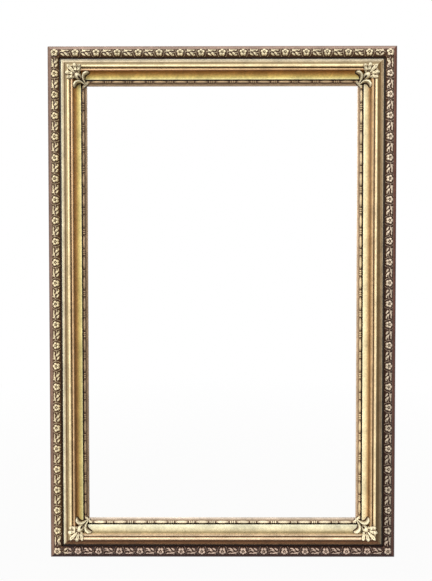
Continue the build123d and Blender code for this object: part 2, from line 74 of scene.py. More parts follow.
# Painted light and shade over the leaf of each side, as tints by mm inward: one leaf lit and shaded by how
# each side faces, darker on the bottom and right, a painted shadow under the inner step of the top and left
# and at the top of the right's cove, and warm coves on the top and left where painted reflection stands for
# light thrown between gilt faces.
SIDE_LIGHT_AND_SHADE_TINTS = {"top": ((0, "#ffffff"), (37, "#ffffff"), (39, "#dcd8dc"), (43, "#dcdade"), (45, "#ffffff"),
                     (59, "#ffffff"), (60, "#fbf2d6"), (68, "#fbf2d6"), (70, "#fce2c0"), (72.3, "#fce2c0"),
                     (73.2, "#a07850"), (75, "#a07850"), (75.6, "#e0a668"), (79, "#ecc084"), (84, "#ffe8a0"),
                     (90.5, "#fffacc"), (93, "#ffffff"), (99, "#fff0dc")),
             "left": ((0, "#d2c6bd"), (11, "#d2c6bd"), (13, "#eee6db"), (37, "#eee6db"), (39, "#ffffff"),
                      (46.2, "#ffffff"), (47.6, "#bcab92"), (50, "#bcab92"), (54, "#ffffff"), (60, "#fbf0d2"),
                      (68, "#fbf0d2"), (70, "#fce2c0"), (72.3, "#fce2c0"), (73.2, "#a8937c"), (75, "#a8937c"),
                      (75.6, "#d8a478"), (79, "#ecbe8c"), (83, "#ffe8a8"), (90.5, "#fff8c4"), (93, "#ffffff"),
                      (99, "#fff0dc")),
             "right": ((0, "#bc948c"), (9, "#bc948c"), (11.5, "#d0cdcb"), (37, "#d0cdcb"), (39, "#dccec6"),
                       (44, "#d0c0b4"), (45, "#d6c6b4"), (59, "#d0bca4"), (60, "#fbf2d8"), (75, "#eed6b8"),
                       (75.6, "#98704c"), (78.5, "#d0ac8c"), (83, "#f8ecd8"), (91, "#f8f0dc"),
                       (93, "#ffffff"), (99, "#fff2e0")),
             "bottom": ((0, "#54322e"), (11, "#54322e"), (12.5, "#74544c"), (37, "#74544c"), (39, "#9a7a6c"),
                        (44, "#967668"), (45, "#9e7a66"), (59, "#9a7058"), (60, "#ecdccc"), (68, "#ecdccc"),
                        (70, "#fff8ee"), (75, "#f8eee0"), (75.6, "#c4bcac"), (79, "#e4e0d8"), (82, "#e6e6e2"),
                        (91, "#dcdcd4"), (93, "#ffffff"))}
# Painted light and shade along each rail: brightness at the start and the end of each rail, clockwise as seen
# from the front: of the bands outside the first fade edge, and of those inside the second one.
LENGTH_LIGHT_FADES = {"top": (1, 1), "bottom": (1, 1), "left": (1, 1), "right": (1.1, 0.48)}
COVE_LIGHT_FADES = {"top": (1.12, 1.12), "bottom": (1, 1), "left": (0.74, 1.15), "right": (0.96, 1.1)}
FADE_EDGES = (59.0, 75.2)
OUTER_SIDE, OUTER_SIDE_TONE = 1.0, "#7a5a3c"
WEAR_REACH, RIM_EDGE = 2.0, 11.8
GRIME_DEPTH, GROOVE_GRIME = 0.9, 0.8
RUB_HEIGHT, LEAF_RUB, PROUD_RUB, RIM_RUB = 1.2, 0.08, 0.12, 0.16


def linear(code):
    """sRGB hex code to linear red, green and blue."""
    value = np.array([int(code[i:i + 2], 16) for i in (1, 3, 5)]) / 255
    return np.where(value <= 0.04045, value / 12.92, ((value + 0.055) / 1.055) ** 2.4)


def rgba(code):
    """sRGB hex code to the linear colour with full alpha that a shader socket takes."""
    return (*linear(code), 1.0)


def bow(start, end, rise, count=24):
    """Arc from start to end whose middle stands rise mm to the left of the chord, at equal angles."""
    chord = np.subtract(end, start)
    length = np.hypot(*chord)
    radius = (length ** 2 / 4 + rise ** 2) / (2 * abs(rise))
    half = np.arcsin(min(1.0, length / 2 / radius))
    turn = np.linspace(-half, half, count)[:, None]
    along = chord / length
    left = np.array((-along[1], along[0])) * np.sign(rise)
    return np.add(start, chord / 2) + radius * np.sin(turn) * along \
        + (radius * np.cos(turn) - radius + abs(rise)) * left


def banded(at, stops, rows):
    """Rows of values at places between stops, each column on straight lines from stop to stop."""
    return np.column_stack([np.interp(at, stops, column) for column in np.transpose(rows)])


def spaced(points, step):
    """The same line with its points at equal distances of about step, found by its running length."""
    run = np.concatenate(([0], np.cumsum(np.hypot(*np.diff(points, axis=0).T))))
    return banded(np.linspace(0, run[-1], int(run[-1] / step) + 1), run, points)


def steps_round(line):
    """Step from the point before to the point after, at each point of a closed line."""
    return np.roll(line, -1, 0) - np.roll(line, 1, 0)


def left_of(steps):
    """Unit vectors to the left of steps along a line: each step turned a quarter, over its length."""
    return np.column_stack((-steps[:, 1], steps[:, 0])) / np.hypot(*steps.T)[:, None]


def blurred(field, spread, axis=0, mode="edge"):
    """Mean of each value and its neighbours along an axis, weighted by a bell curve of spread steps."""
    reach = int(3 * spread) + 1
    weights = np.exp(-0.5 * (np.arange(-reach, reach + 1) / spread) ** 2)
    margins = [(reach, reach) if i == axis else (0, 0) for i in range(field.ndim)]
    padded = np.pad(field, margins, mode=mode)
    count = field.shape[axis]
    shifted = (w * np.take(padded, range(k, k + count), axis=axis) for k, w in enumerate(weights))
    return sum(shifted) / weights.sum()


def placed(side, inward, along, height):
    """World points in metres of distances in mm from the middle of a side's outer edge: inward from it, along
    it clockwise, and up from the back to the front."""
    direction, _, across = SIDES[side]
    direction = np.array(direction, float)
    run = np.cross((0, -1, 0), direction)
    offset = np.stack(np.broadcast_arrays(inward, along, height), -1)
    offset = offset - np.array((OUTER[across] / 2, 0, 0))
    return MM * offset @ np.array((direction, run, (0, -1, 0)))


def surface(name, points, tone=0.0, grime=0.0, rub=0.0, uv=0.0, keep=None, under=None,
            ring=False, closed=False, caps=False):
    """Mesh of a grid of points, or of a stack of such grids, with one quad for each cell, smooth but for
    sharp edges. Rows may join up as a ring and columns as a loop. Under is the back of a sheet: walls run
    down to it from the free edges. The faces are turned outward by the sign of the volume they enclose."""
    rows, columns = points.shape[-3:-1]
    index = np.arange(rows * columns).reshape(rows, columns)
    ends = [index[:, -1], index[::-1, 0]] if caps else []
    index = np.vstack((index, index[:1])) if ring else index
    index = np.hstack((index, index[:, :1])) if closed else index
    quads = np.stack((index[:-1, :-1], index[1:, :-1], index[1:, 1:], index[:-1, 1:]), -1)
    quads = (quads if keep is None else quads[keep]).reshape(-1, 4)
    count = points.size // 3
    quads = (quads + np.arange(0, count, rows * columns)[:, None, None]).reshape(-1, 4)
    shape = points.shape[:-1]
    spread = [np.broadcast_to(v, (*shape, n)).reshape(-1, n) for v, n in ((tone, 4), (uv, 2))]
    spread += [np.broadcast_to(v, shape).reshape(-1, 1) for v in (grime, rub)]
    data = np.hstack((points.reshape(-1, 3), *spread))
    if under is not None:
        edges = np.stack((quads, np.roll(quads, -1, 1)), -1).reshape(-1, 2)
        free = ~np.isin(edges @ (count, 1), edges @ (1, count))
        start, end = edges[free].T
        walls = np.column_stack((end, start, start + count, end + count))
        quads = np.vstack((quads, quads[:, ::-1] + count, walls))
        data = np.vstack((data, np.hstack((under.reshape(-1, 3), data[:, 3:]))))
    used, quads = np.unique(quads, return_inverse=True)
    data, quads = data[used], quads.reshape(-1, 4)
    a, b, c, d = np.moveaxis(data[quads, :3] - data[:, :3].mean(0), 1, 0)
    outward = 1 if np.sum(a * (np.cross(b, c) + np.cross(c, d))) > 0 else -1
    faces = [face[::outward].tolist() for face in (*quads, *ends)]
    mesh = bpy.data.meshes.new(name)
    places, tones, uvs, grime_and_shade_values, rubs = np.split(data, (3, 7, 9, 10), axis=1)
    mesh.from_pydata(places, [], faces)
    for label, kind, slot, values in (("tone", "FLOAT_COLOR", "color", tones),
                                      ("grime", "FLOAT", "value", grime_and_shade_values), ("rub", "FLOAT", "value", rubs)):
        mesh.attributes.new(label, kind, "POINT").data.foreach_set(slot, values.astype(np.float32).ravel())
    corners = np.empty(len(mesh.loops), np.int32)
    mesh.loops.foreach_get("vertex_index", corners)
    layer = mesh.uv_layers.new(name="UVMap")
    layer.data.foreach_set("uv", uvs[corners].astype(np.float32).ravel())
    mesh.validate()
    mesh.polygons.foreach_set("use_smooth", np.ones(len(mesh.polygons), bool))
    mesh.set_sharp_from_angle(angle=SHARP_EDGE)
    piece = bpy.data.objects.new(name, mesh)
    bpy.context.scene.collection.objects.link(piece)
    return piece


def add(tree, kind, inputs=(), **settings):
    """One shader node, its settings made and its inputs set to values or linked to sockets. Map Range takes
    the ends of its two ranges as inputs 1 to 4, and a colour Mix its factor and colours as 0, 6 and 7."""
    made = tree.nodes.new("ShaderNode" + kind)
    for key, value in settings.items():
        setattr(made, key, value)
    for key, value in dict(inputs).items():
        if isinstance(value, bpy.types.NodeSocket):
            tree.links.new(value, made.inputs[key])
        else:
            made.inputs[key].default_value = value
    return made


def material(name):
    """A new material with its node tree, its Principled shader and Object coordinates."""
    made = bpy.data.materials.new(name)
    made.use_nodes = True
    tree = made.node_tree
    return made, tree, tree.nodes["Principled BSDF"], add(tree, "TexCoord").outputs["Object"]


# Worn gold leaf on red bole. The eye sees warm metal in patches 20 mm wide, specks of bole 2 mm wide where
# the leaf is rubbed, and brown grime in the hollows. The pieces give that grime together with painted shade,
# and the leaf's tone with painted light in it. The specks are drawn at about twice their real size.
LEAF_PATCH, BOLE_SPECK = 45 * MM, 6 * MM
DIRT_AND_SHADE_TINT, CAKED_DIRT_AND_SHADE, BOLE = "#6a5040", "#27120c", "#7d4a34"
gold_leaf, tree, shader, place = material("worn_gold_leaf_on_bole")
toned = add(tree, "Attribute", attribute_name="tone")
tone, gilt = toned.outputs["Color"], toned.outputs["Alpha"]
grime = add(tree, "Attribute", attribute_name="grime").outputs["Fac"]
rub = add(tree, "Attribute", attribute_name="rub").outputs["Fac"]
patch = add(tree, "TexNoise",
            {"Vector": place, "Scale": 1 / LEAF_PATCH, "Detail": 4, "Roughness": 0.6}).outputs["Fac"]
speck = add(tree, "TexNoise",
            {"Vector": place, "Scale": 1 / BOLE_SPECK, "Detail": 5, "Roughness": 0.7}).outputs["Fac"]
shade = add(tree, "MapRange", {"Value": patch, 1: 0.3, 2: 0.7, 3: 0.72, 4: 1.12}).outputs[0]
fleck = add(tree, "MapRange", {"Value": speck, 1: 0.35, 2: 0.65, 3: 0.8, 4: 1.12}).outputs[0]
shade = add(tree, "Math", {0: shade, 1: fleck}, operation="MULTIPLY").outputs[0]
leaf = add(tree, "Mix", {0: 1.0, 6: tone, 7: shade}, data_type="RGBA", blend_type="MULTIPLY").outputs[2]
dirt_and_shade = add(tree, "Mix", {0: 1.0, 6: tone, 7: rgba(DIRT_AND_SHADE_TINT)},
           data_type="RGBA", blend_type="MULTIPLY").outputs[2]
# Grime and painted shade above 1 go on darkening towards the caked colour.
deep_dirt_and_shade = add(tree, "Math", {0: grime, 1: 1.0}, operation="SUBTRACT", use_clamp=True).outputs[0]
dirt_and_shade = add(tree, "Mix", {0: deep_dirt_and_shade, 6: dirt_and_shade, 7: rgba(CAKED_DIRT_AND_SHADE)}, data_type="RGBA").outputs[2]
bare = add(tree, "Math", {0: speck, 1: rub}, operation="ADD").outputs[0]
bare = add(tree, "MapRange", {"Value": bare, 1: 0.98, 2: 1.16}).outputs[0]
leaf = add(tree, "Mix", {0: bare, 6: leaf, 7: rgba(BOLE)}, data_type="RGBA").outputs[2]
soil_and_shade = add(tree, "MapRange", {"Value": patch, 1: 0.3, 2: 0.7, 3: 0.92, 4: 1.2}).outputs[0]
soil_and_shade = add(tree, "Math", {0: soil_and_shade, 1: grime}, operation="MULTIPLY", use_clamp=True).outputs[0]
leaf = add(tree, "Mix", {0: soil_and_shade, 6: leaf, 7: dirt_and_shade}, data_type="RGBA").outputs[2]
dull = add(tree, "Math", {0: soil_and_shade, 1: bare}, operation="MAXIMUM").outputs[0]
metal = add(tree, "MapRange", {"Value": dull, 3: 0.5, 4: 0.0}).outputs[0]
metal = add(tree, "Math", {0: metal, 1: gilt}, operation="MULTIPLY").outputs[0]
rough = add(tree, "MapRange", {"Value": speck, 1: 0.3, 2: 0.7, 3: 0.36, 4: 0.56}).outputs[0]
bump = add(tree, "Bump", {"Height": speck, "Strength": 0.25, "Distance": 0.6 * MM}).outputs[0]
shader.inputs["Specular IOR Level"].default_value = 0.25
for socket, value in (("Base Color", leaf), ("Metallic", metal), ("Roughness", rough), ("Normal", bump)):
    tree.links.new(value, shader.inputs[socket])

# Aged bare pine. The eye sees grain lines about 3 mm apart along the rail, darker bands and dust.
# Its grain is given in waves to the metre, along the rail and across it.
GRAIN_WAVES = (6, 330, 1)
PINE_STAIN = 120 * MM
pine, tree, shader, place = material("aged_bare_pine")
unrolled = add(tree, "TexCoord").outputs["UV"]
along_grain = add(tree, "Mapping", {"Vector": unrolled, "Scale": GRAIN_WAVES}).outputs[0]
grain = add(tree, "TexNoise", {"Vector": along_grain, "Scale": 1, "Detail": 3},
            noise_dimensions="2D").outputs["Fac"]
stain = add(tree, "TexNoise", {"Vector": place, "Scale": 1 / PINE_STAIN, "Detail": 3}).outputs["Fac"]
lines = add(tree, "MapRange", {"Value": grain, 1: 0.35, 2: 0.65}).outputs[0]
board = add(tree, "Mix", {0: lines, 6: rgba("#a9825a"), 7: rgba("#7d5838")}, data_type="RGBA").outputs[2]
dusk = add(tree, "MapRange", {"Value": stain, 1: 0.4, 2: 0.75, 3: 0.0, 4: 0.6}).outputs[0]
board = add(tree, "Mix", {0: dusk, 6: board, 7: rgba("#5b4029")}, data_type="RGBA").outputs[2]
bump = add(tree, "Bump", {"Height": grain, "Strength": 0.4, "Distance": 0.5 * MM}).outputs[0]
tree.links.new(board, shader.inputs["Base Color"])
tree.links.new(bump, shader.inputs["Normal"])
shader.inputs["Roughness"].default_value = 0.78

# Section of the moulding as mm inward and mm up from the back: the outer side and round rim, the border's bed
# and a groove, a sloping fillet, the hollow, the bead, two steps, the cove, a groove, the pearl string's flat
# and the bevel at the sight edge, and then the rebate and the back.
front_line = np.vstack([[(0, 0), (0, 26)], bow((0, 26), (11.5, 34), 2.2),
                        [(11.5, 33), (33, 33), (33, 30), (38.5, 30), (38.5, 33.5), (46, 38.5)],
                        bow((46, 40), (59.5, 50), -2.77), bow((59.5, 51), (66.5, 51), 3.5),
                        [(66.5, 47.5), (69.5, 47.5), (69.5, 49.5), (75, 49.5)],
                        bow((75, 48), (92, 26), -4.79), [(92, 22.5), (94.5, 22.5), (94.5, 24), (99.5, 24)],
                        [(MOULDING, 18), (MOULDING, REBATE_DEPTH)]])
back_line = [(REBATE_EDGE, REBATE_DEPTH), (REBATE_EDGE, 0), (0, 0)]
section = spaced(np.vstack((front_line, back_line)), PROFILE_STEP)[:-1]
section = blurred(section, EDGE_SOFTNESS / PROFILE_STEP, mode="wrap")
inward, rise = section.T
facing = left_of(steps_round(section))
mean_line = blurred(section, WEAR_REACH / PROFILE_STEP, mode="wrap")
proud = np.sum((section - mean_line) * facing, 1)
in_rebate = (np.abs(inward - REBATE_EDGE) < 0.6) & (rise < REBATE_DEPTH)
is_back = (facing[:, 1] < -0.5) | in_rebate
stops, codes, gilt = zip(*RAIL_TONES_AND_PAINTED_LIGHT)
# The tone across the section: the leaf's colour with its painted highlights and painted shade.
rail_tone_and_painted_light = banded(inward, stops, [(*linear(code), share) for code, share in zip(codes, gilt)])
rail_tone_and_painted_light[inward < OUTER_SIDE] = (*linear(OUTER_SIDE_TONE), 0.0)
rail_grime = np.clip(-proud / GRIME_DEPTH, 0, GROOVE_GRIME)
rail_rub = LEAF_RUB + np.clip(proud / RUB_HEIGHT, 0, PROUD_RUB) + RIM_RUB * (inward < RIM_EDGE)
length_on_profile = np.arange(len(section)) * PROFILE_STEP * MM
for side, (_, run_of, _) in SIDES.items():
    reach = OUTER[run_of] / 2 - inward
    along = np.stack((-reach, reach), 1)
    points = placed(side, inward[:, None], along, rise[:, None])
    uv = np.stack((along * MM, np.broadcast_to(length_on_profile[:, None], along.shape)), -1)
    # Each side's leaf takes its painted light and shade.
    stops, codes = zip(*SIDE_LIGHT_AND_SHADE_TINTS[side])
    light_and_shade_tints = banded(inward, stops, [linear(code) for code in codes])
    side_lit_tone = rail_tone_and_painted_light * np.column_stack((light_and_shade_tints, np.ones_like(inward)))
    # The painted light falls off along the rail, and lights or shades the cove.
    light_fades = np.where(inward[:, None] < FADE_EDGES[0], LENGTH_LIGHT_FADES[side], 1)
    light_fades = np.where(inward[:, None] > FADE_EDGES[1], COVE_LIGHT_FADES[side], light_fades)
    tones = side_lit_tone[:, None] * np.stack((light_fades, light_fades, light_fades, np.ones_like(light_fades)), -1)
    rail = surface(side + "_moulding", points, tones, rail_grime[:, None], rail_rub[:, None], uv,
                   caps=True, ring=True)
    rail.data.materials.append(gold_leaf)
    rail.data.materials.append(pine)
    bare_faces = np.append(is_back & np.roll(is_back, -1), (True, True)).astype(np.int32)
    rail.data.polygons.foreach_set("material_index", bare_faces)
    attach(rail, "frame")
    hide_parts(side + "_rail")

# Rosette border
# Pressed composition ribbon glued in a bed near the outer edge of each rail, then gilded with it: a low
# crown, a five-petalled rosette in a thin ring of stem in each repeat, and a waving stem and leaves between.
BORDER_EDGES = (11.0, 33.0)
BORDER_CENTRE = 22.25
BORDER_BED = 33.05
CROWN_SPRING, CROWN_TOP = 34.0, 39.6
REPEAT = 57.6
CORNER_ARM = BORDER_CENTRE + REPEAT / 2
PETALS = 5
ROSETTE_RADIUS, ROSETTE_RISE = 10.2, 4.6
# Half widths and rises of the stem that rings a rosette and of the one that waves from ring to ring.
STEM_RING_RADIUS, STEM_RING = 14.0, (1.0, 2.1)
STEM_WAVE, WAVING_STEM = 2.6, (1.0, 2.4)
# Leaves between two rings: foot along and across, angle in degrees, length, width and sideways bend.
SPRAY = ((-11.5, -1.5, -34, 19.0, 6.4, 7.5), (-11.0, 2.0, 46, 12.0, 5.6, -3.5),
         (-2.0, 1.0, 30, 13.5, 6.0, 1.5), (3.5, -4.0, -22, 9.5, 4.8, 2.0),
         (-9.5, -5.0, -65, 5.5, 4.2, 0.0), (8.5, 5.5, 40, 5.0, 3.8, 0.0))
SPRAY_RISE = 3.8
BORDER_GRID = (0.75, 0.6)
# Tone of the pressed work on each side: one gilding, lit and shaded by painted light, darker on the bottom and
# greyer on the right.
COMPOSITION_SIDE_LIT_TONES = {"top": "#e8dab6", "left": "#eedeb6", "right": "#ecdac0", "bottom": "#c8b09e"}
COMPOSITION_GILT, COMPOSITION_RUB = 0.5, 0.10
# The ribbon's painted light and shade along its rail is this power of the rail's own brightness.
RIBBON_LIGHT_FADE = 0.75
# Grime with painted shade on the ribbon's sides, and on its ground at the start and the end of each rail; the
# ground of the right and bottom rails is darker with painted shade.
RIBBON_SIDE_GRIME_AND_SHADE = 1.0
GROUND_GRIME_AND_SHADE = {"top": (1.55, 1.55), "left": (1.5, 1.5), "right": (1.6, 2.0), "bottom": (1.95, 1.95)}
# Pressed work comes clean over this range of relief in mm. Its dips are found by a blur of so many cells, and
# are darkened with grime and painted shade.
CLEAN_RISE, DIP_CELLS = (0.6, 2.6), 2.2
DIP_GRIME_AND_SHADE, MOST_DIP_GRIME_AND_SHADE = 0.75, 0.8


def eased(low, high, value):
    """0 below low, 1 above high, and a smooth S between."""
    t = np.clip((value - low) / (high - low), 0, 1)
    return t * t * (3 - 2 * t)


def softened(field, spread):
    """A grid blurred by the same bell curve along both of its axes."""
    return blurred(blurred(field, spread, 0), spread, 1)


def rosette(u, v, radius, rise):
    """Relief of a wild rose: five broad petals apart, each as high as a root of what an ellipse leaves and
    creased along its middle, and a round button."""
    distance, turn = np.hypot(u, v) / radius, np.arctan2(v, u)
    share = 2 * math.pi / PETALS
    off = (turn - share / 4) % share - share / 2
    along, aside = distance * np.cos(off), distance * np.sin(off)
    petal = np.clip(1 - ((along - 0.64) / 0.36) ** 2 - (aside / 0.42) ** 2, 0, 1) ** 0.35
    petal = petal * (1 - 0.2 * np.exp(-(aside / 0.06) ** 2))
    return rise * np.maximum(petal, 0.85 * np.sqrt(np.clip(1 - (distance / 0.18) ** 2, 0, 1)))


def leaf_blade(u, v, foot, angle, length, width, rise, bend=0.0):
    """Relief of a leaf: along its axis the width swells and tapers as a sine, across it the height falls to
    the edge, and a furrow follows the middle. The axis bends sideways by the square of the way along."""
    c, s = math.cos(math.radians(angle)), math.sin(math.radians(angle))
    way = ((u - foot[0]) * c + (v - foot[1]) * s) / length
    aside = -(u - foot[0]) * s + (v - foot[1]) * c - bend * way ** 2
    inside = np.clip(way, 0, 1)
    half = width / 2 * np.sin(math.pi * inside ** 0.8) ** 0.75 + 1e-6
    over = np.clip(1 - (aside / half) ** 2, 0, 1) ** 0.4
    furrow = 1 - 0.35 * np.exp(-(aside / 0.5) ** 2)
    return np.where((way > 0) & (way < 1), rise * over * furrow * (0.65 + 0.35 * inside), 0)


def stem(distance, half, rise):
    """Relief of a round stem: half an ellipse over the distance to its middle line."""
    return rise * np.sqrt(np.clip(1 - (distance / half) ** 2, 0, 1))


def crown(at):
    """Height of the ribbon's crown at a distance inward: an arch that falls from the middle of the bed by a
    little more than the square of the distance."""
    half = (BORDER_EDGES[1] - BORDER_EDGES[0]) / 2
    arch = np.clip(1 - np.abs((at - BORDER_CENTRE) / half) ** 2.2, 0, 1)
    return CROWN_SPRING + (CROWN_TOP - CROWN_SPRING) * arch


def spray(u, v):
    """Relief of the leaves between two rosettes, u along from the middle of the gap: long ones that part from
    one foot, short ones beside them, and a thin stem that waves as a sine from ring to ring. The distance to
    the stem is taken as 0.9 of the one across the border, because the wave slopes."""
    reach = REPEAT / 2 - STEM_RING_RADIUS
    wave = STEM_WAVE * np.sin(math.pi * u / reach)
    relief = np.where(np.abs(u) < reach, stem(0.9 * (v - wave), *WAVING_STEM), 0)
    for foot_u, foot_v, angle, length, width, bend in SPRAY:
        blade = leaf_blade(u, v, (foot_u, foot_v), angle, length, width, SPRAY_RISE, bend)
        relief = np.maximum(relief, blade)
    return relief


def border_relief(u, v, pitch):
    """One repeat, u along from the rosette's middle and v across: rosette, the thin ring of stem round it,
    and half of the leaf spray at each end."""
    relief = rosette(u, v, ROSETTE_RADIUS, ROSETTE_RISE)
    relief = np.maximum(relief, stem(np.hypot(u, v) - STEM_RING_RADIUS, *STEM_RING))
    for end in (-pitch / 2, pitch / 2):
        relief = np.maximum(relief, spray(u - end, v))
    return relief


def pressed_grime_and_shade(relief, ground):
    """Grime and painted shade of pressed work: that of the ground where it is bare, none on the tops, and some
    in every dip.
    """
    dip = softened(relief, DIP_CELLS) - relief
    bare = 1 - eased(*CLEAN_RISE, relief)
    return np.clip(bare * ground + np.clip(dip * DIP_GRIME_AND_SHADE, 0, MOST_DIP_GRIME_AND_SHADE * ground), 0, ground)


def edged(grid, value):
    """The grid with a row of one value before and after it, for the sides that come down to the bed."""
    row = np.full_like(grid[:1], value)
    return np.vstack((row, grid, row))


across = np.linspace(*BORDER_EDGES, int((BORDER_EDGES[1] - BORDER_EDGES[0]) / BORDER_GRID[1]) + 1)
for side, (_, run_of, _) in SIDES.items():
    run = OUTER[run_of] - 2 * CORNER_ARM
    pitch = run / round(run / REPEAT)
    along = np.linspace(-run / 2, run / 2, int(run / BORDER_GRID[0]) + 1)
    u, v = np.meshgrid((along + run / 2) % pitch - pitch / 2, across - BORDER_CENTRE, indexing="xy")
    relief = border_relief(u, v, pitch)
    grid_along, grid_in = np.meshgrid(along, across, indexing="xy")
    height = crown(grid_in) + relief
    # Grime with painted shade on the ground and in the dips, as given for the two ends of the rail.
    grime_and_shade_grid = pressed_grime_and_shade(relief, np.interp(along, (-run / 2, run / 2), GROUND_GRIME_AND_SHADE[side]))
    grid_in, grid_along = (np.vstack((g[:1], g, g[-1:])) for g in (grid_in, grid_along))
    points = placed(side, grid_in, grid_along, edged(height, BORDER_BED))
    uv = np.stack((grid_along, grid_in), -1) * MM
    # Painted light and shade: the ribbon fades along its rail with the rail, and its tone differs by side.
    fade = np.interp(along, (-run / 2, run / 2), LENGTH_LIGHT_FADES[side])[:, None] ** RIBBON_LIGHT_FADE
    tone = np.hstack((fade * linear(COMPOSITION_SIDE_LIT_TONES[side]), np.full_like(fade, COMPOSITION_GILT)))
    grime_and_shade_grid = edged(grime_and_shade_grid, RIBBON_SIDE_GRIME_AND_SHADE)
    ribbon = surface(side + "_pressed_border", points, tone, grime_and_shade_grid, COMPOSITION_RUB, uv,
                     ring=True, caps=True)
    ribbon.data.materials.append(gold_leaf)
    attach(ribbon, "frame")
    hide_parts(side + "_rosette_border")

# Border corners
# A pressed L-shaped piece of the same composition is glued in the bed at each corner: a larger rosette on the
# mitre, a small leaf inside it, and on each arm an arc of stem and leaves that meet the straight length.
CORNER_ROSETTE_RADIUS, CORNER_ROSETTE_RISE = 11.0, 4.8
CORNER_RING_RADIUS, CORNER_RING = 15.6, (0.9, 1.5)
CORNER_LEAF = {"foot": (7.5, 7.5), "angle": 45, "length": 7.0, "width": 5.0, "rise": 2.2}
# The stems and leaves of an arm start so far from the rosette's middle.
ARM_START = 10.0
CORNER_GRID = 0.6
# Each corner: its hand, with 1 on the viewer's right, and 1 for up or -1 for down.
CORNERS = {"top_left": (-1, 1), "top_right": (1, 1), "bottom_left": (-1, -1), "bottom_right": (1, -1)}


def cornered(corner, x_in, z_in, height):
    """World points in metres of distances in mm: inward from the two outer edges that meet in a corner, and up
    from the back to the front."""
    hand, up = CORNERS[corner]
    x = hand * (OUTER["width"] / 2 - x_in)
    z = up * (OUTER["height"] / 2 - z_in)
    return MM * np.stack(np.broadcast_arrays(x, -height, z), -1)


def whole_cells(inside):
    """True for each cell of a grid that has all four of its corners inside."""
    return inside[:-1, :-1] & inside[1:, :-1] & inside[:-1, 1:] & inside[1:, 1:]


reach = np.linspace(BORDER_EDGES[0], CORNER_ARM, int((CORNER_ARM - BORDER_EDGES[0]) / CORNER_GRID) + 1)
x_in, z_in = np.meshgrid(reach, reach, indexing="ij")
u, v = x_in - BORDER_CENTRE, z_in - BORDER_CENTRE
relief = rosette(u, v, CORNER_ROSETTE_RADIUS, CORNER_ROSETTE_RISE)
arc = stem(np.hypot(u, v) - CORNER_RING_RADIUS, *CORNER_RING)
for along, over, hand in ((u, v, 1), (v, u, -1)):
    leaves = spray(hand * (along - REPEAT / 2), over)
    relief = np.maximum(relief, np.where(along > ARM_START, np.maximum(arc, leaves), 0))
relief = np.maximum(relief, leaf_blade(u, v, **CORNER_LEAF))
within = np.minimum(x_in, z_in) <= BORDER_EDGES[1]
height = np.where(within, crown(np.minimum(x_in, z_in)) + relief, BORDER_BED)
keep = whole_cells(within)
uv = np.stack((x_in, z_in), -1) * MM
for corner in CORNERS:
    points, base = (cornered(corner, x_in, z_in, level) for level in (height, BORDER_BED))
    sides, end = corner.split("_"), int(CORNERS[corner][1] < 0)
    # A corner takes the mean of its two sides' painted light and shade, and of their grime.
    fade = np.mean([LENGTH_LIGHT_FADES[side][end] for side in sides]) ** RIBBON_LIGHT_FADE
    tone = (*fade * np.mean([linear(COMPOSITION_SIDE_LIT_TONES[side]) for side in sides], 0), COMPOSITION_GILT)
    ground = np.mean([GROUND_GRIME_AND_SHADE[side][end] for side in sides])
    grime_and_shade_grid = np.where(within, pressed_grime_and_shade(relief, ground), ground)
    piece = surface(corner + "_pressed_corner", points, tone, grime_and_shade_grid, COMPOSITION_RUB, uv, keep, base)
    piece.data.materials.append(gold_leaf)
    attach(piece, "frame")
    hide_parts(corner + "_border_corner")

# Sight strips
# A pressed string of long barrels and threes of pearls, bent over the flat next to the sight edge of each
# rail, glued and gilded. It stops just short of the sight corners, where the corner ornaments begin.
STRIP_CENTRE, STRIP_HALF, STRIP_RISE = 98.3, 3.7, 5.0
STRIP_SET_BACK = 3.0
STRIP_REPEAT = 58.5
STRIP_GRID, STRIP_POINTS = 0.55, 13
PEARL = 5.6
PEARLS = 3
STRIP_NECK = 0.28
# Tone of the string's leaf on each side: one gilding, lit and shaded by painted light, pale on the bottom and
# right and darker on the top and left.
STRIP_SIDE_LIT_TONES = {"top": "#bca07c", "left": "#ae9474", "right": "#dec69c", "bottom": "#f0e0c0"}
STRIP_GILT, STRIP_RUB = 0.8, 0.16
# Grime with painted shade fills the necks between pearls and the foot of the string and darkens its sides, and
# the tops are clean and left lit.
STRIP_GRIME_AND_SHADE, STRIP_CLEAN_LIT_TOPS, MOST_STRIP_GRIME_AND_SHADE = 1.9, 2.1, 1.4


def moulding_height(at):
    """Height of the moulding's front at a distance inward from the outer edge, read off its section. A shift
    of a millionth of a millimetre from point to point keeps upright stretches in order."""
    inner = front_line[1:-1]
    return np.interp(at, inner[:, 0] + np.arange(len(inner)) * 1e-6, inner[:, 1])


def barrel_and_pearls(way_along, pitch):
    """Thickness from 0 to 1 along the string: half circles for the pearls in the middle of a repeat, then a
    barrel that swells as a flat ellipse up to the next ones."""
    u = (way_along + pitch / 2) % pitch - pitch / 2
    pearls = PEARLS * PEARL / 2
    in_pearl = ((u + pearls) % PEARL) - PEARL / 2
    pearl = np.sqrt(np.clip(1 - (in_pearl / (PEARL / 2)) ** 2, 0, 1))
    way = (np.abs(u) - pearls) / (pitch / 2 - pearls)
    barrel = np.clip(1 - (1 - np.clip(way, 0, 1)) ** 2.4, 0, 1) ** 0.6
    return STRIP_NECK + (1 - STRIP_NECK) * np.where(np.abs(u) < pearls, pearl, barrel)


